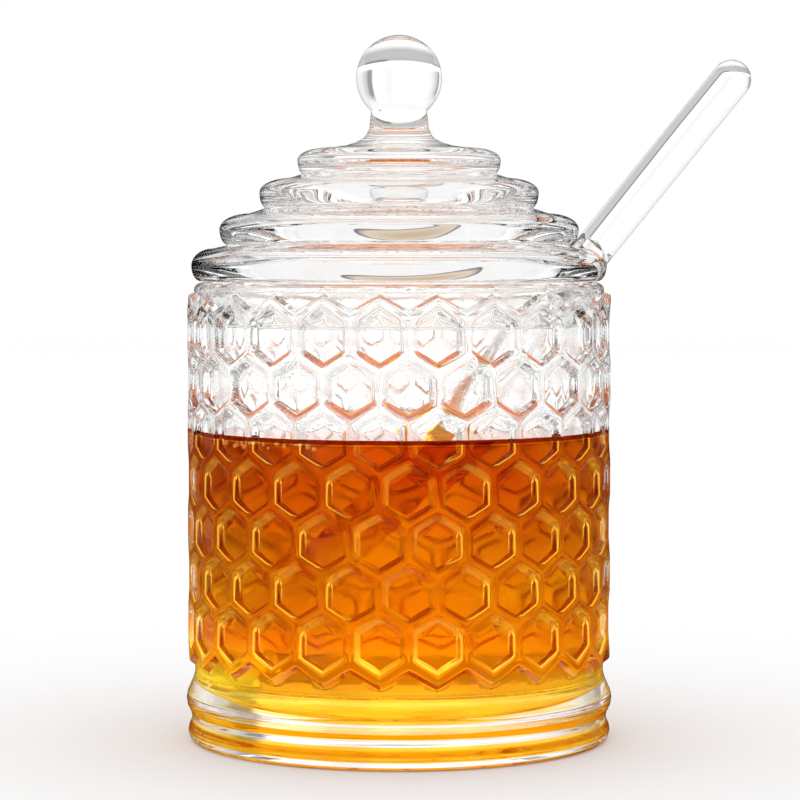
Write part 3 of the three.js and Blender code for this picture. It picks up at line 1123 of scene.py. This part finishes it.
def camera_at_photo():
    """Camera fitted to the photograph's view."""
    camera = bpy.data.objects.new("camera", bpy.data.cameras.new("camera"))
    bpy.context.scene.collection.objects.link(camera)
    camera.data.sensor_width = 36.0
    camera.data.lens = 129.6
    camera.data.clip_start = 0.01
    camera.location = (0.2 * MM, -600 * MM, 100 * MM)
    camera.rotation_euler = (math.radians(90 - 2.82), 0, 0)
    bpy.context.scene.camera = camera


# Operators

def dress(piece, node, slot, *materials):
    """Gives a piece its materials, and lets it ride on the frame and stand for its CAD node."""
    piece.data.materials.clear()
    for material in materials:
        piece.data.materials.append(material)
    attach(piece, "root")
    if node:
        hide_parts(node)


class HONEYPOT_OT_add_jar(bpy.types.Operator):
    """Model the pressed glass jar with its honeycomb"""

    bl_idname = "honeypot.add_jar"
    bl_label = "Add Jar"

    def execute(self, context):
        pot = context.scene.honey_pot
        ripple = {
            "Wave Scale": 90.0, "Wave Height": 0.05, "Pit Scale": 1400.0, "Pit Height": 0.03,
            "Pit Radius": pot.jar.radius - 0.95 * MM,
            "Soft Bottom": COMB_BOTTOM, "Soft Top": pot.honey.level, "Softness": 0.42,
        }
        jar = jar_glass(pot.jar)
        dry = glass_material("jar_glass", pot.finishes, ripple)
        # Painted shade and painted glow on the honeycomb's slopes
        add_painted_slope_light(dry, pot.finishes)
        wet = glass_material("jar_glass_against_honey", pot.finishes, ripple, WET_IOR)
        dress(jar, "jar", "clear_glass", dry, wet)
        line = pot.honey.level + pot.honey.climb
        low = pot.jar.floor - 0.5 * MM
        give_faces(jar, 1, lambda face: (
            low < face.center.z < line
            and face.center.xy.length < inner_radius(pot.jar, face.center.z) + 0.4 * MM
        ))
        return {"FINISHED"}


class HONEYPOT_OT_add_honey(bpy.types.Operator):
    """Fill the jar with honey"""

    bl_idname = "honeypot.add_honey"
    bl_label = "Add Honey"

    def execute(self, context):
        pot = context.scene.honey_pot
        honey = honey_fill(pot.honey, pot.jar, pot.dipper)
        surface = honey_material("honey", pot.finishes, 1.49, toned_with_painted_light=False)
        side = honey_material("honey_against_glass", pot.finishes, 1.0, toned_with_painted_light=True)
        dress(honey, "honey", "honey", surface, side, honey_film_material(pot.finishes))
        level = pot.honey.level - 0.02 * MM
        give_faces(honey, 1, lambda face: face.center.z < level or face.normal.z < 0.1)
        level = pot.honey.level + 0.05 * MM
        give_faces(honey, 2, lambda face: face.center.z > level and face.center.xy.length < 30 * MM)
        dress(honey_bubbles(pot.honey, pot.jar), None, "honey", bubble_glint_material(pot.finishes))
        return {"FINISHED"}


class HONEYPOT_OT_add_lid(bpy.types.Operator):
    """Model the beehive lid with its knob, skirt, collar and notch"""

    bl_idname = "honeypot.add_lid"
    bl_label = "Add Lid"

    def execute(self, context):
        pot = context.scene.honey_pot
        lid = lid_glass(pot.lid)
        combine(lid, collar(pot.lid), "UNION")
        combine(lid, notch_tool(pot.lid, pot.dipper, pot.jar.height), "DIFFERENCE")
        smooth(lid, 40)
        ripple = {"Wave Scale": 70.0, "Wave Height": 0.06, "Pit Height": 0.0}
        dress(lid, "lid", "clear_glass", glass_material("lid_glass", pot.finishes, ripple))
        return {"FINISHED"}


class HONEYPOT_OT_add_dipper(bpy.types.Operator):
    """Model the glass dipper"""

    bl_idname = "honeypot.add_dipper"
    bl_label = "Add Dipper"

    def execute(self, context):
        pot = context.scene.honey_pot
        dipper = dipper_shape(pot.dipper, "dipper_glass")
        ripple = {"Wave Scale": 60.0, "Wave Height": 0.04, "Pit Height": 0.0}
        cut_loop(dipper, pot.honey.level)
        dry = glass_material("dipper_glass", pot.finishes, ripple)
        wet = glass_material("dipper_glass_against_honey", pot.finishes, ripple, WET_IOR)
        dress(dipper, "dipper", "clear_glass", dry, wet)
        give_faces(dipper, 1, lambda face: face.center.z < pot.honey.level)
        return {"FINISHED"}


class HONEYPOT_OT_add_stage(bpy.types.Operator):
    """Add the pale floor, the studio light and the camera"""

    bl_idname = "honeypot.add_stage"
    bl_label = "Add Stage"

    def execute(self, context):
        pot = context.scene.honey_pot
        bpy.ops.mesh.primitive_plane_add(size=6.0)
        floor = context.object
        floor.name = "floor"
        material, _, shader = new_material("pale_floor")
        set_inputs(shader, {"Base Color": pot.finishes.floor, "Roughness": 0.9})
        floor.data.materials.append(material)
        floor.visible_glossy = False
        floor.visible_transmission = False
        world_light()
        camera_at_photo()
        view = context.scene.view_settings
        view.view_transform = "Standard"
        cycles = context.scene.cycles
        cycles.max_bounces = 20
        cycles.transmission_bounces = 20
        cycles.glossy_bounces = 8
        cycles.use_denoising = True
        return {"FINISHED"}


class HONEYPOT_PT_panel(bpy.types.Panel):
    """The pieces of the honey pot, in the sidebar"""

    bl_idname = "HONEYPOT_PT_panel"
    bl_label = "Honey Pot"
    bl_space_type = "VIEW_3D"
    bl_region_type = "UI"
    bl_category = "Honey Pot"

    def draw(self, context):
        for operator in OPERATORS:
            self.layout.operator(operator.bl_idname)
        pot = context.scene.honey_pot
        for name in ("jar", "honey", "lid", "dipper", "finishes"):
            box = self.layout.box()
            group = getattr(pot, name)
            for key in group.__annotations__:
                box.prop(group, key)


OPERATORS = (
    HONEYPOT_OT_add_stage,
    HONEYPOT_OT_add_jar,
    HONEYPOT_OT_add_honey,
    HONEYPOT_OT_add_lid,
    HONEYPOT_OT_add_dipper,
)
SETTINGS = (JarSizes, HoneySizes, LidSizes, DipperSizes, Finishes, HoneyPotSettings)


def register():
    for cls in (*SETTINGS, *OPERATORS, HONEYPOT_PT_panel):
        bpy.utils.register_class(cls)
    bpy.types.Scene.honey_pot = PointerProperty(type=HoneyPotSettings)


def unregister():
    del bpy.types.Scene.honey_pot
    for cls in reversed((*SETTINGS, *OPERATORS, HONEYPOT_PT_panel)):
        bpy.utils.unregister_class(cls)


def main():
    register()
    bpy.ops.honeypot.add_stage()
    bpy.ops.honeypot.add_jar()
    bpy.ops.honeypot.add_honey()
    bpy.ops.honeypot.add_lid()
    bpy.ops.honeypot.add_dipper()


if __name__ == "__main__":
    main()
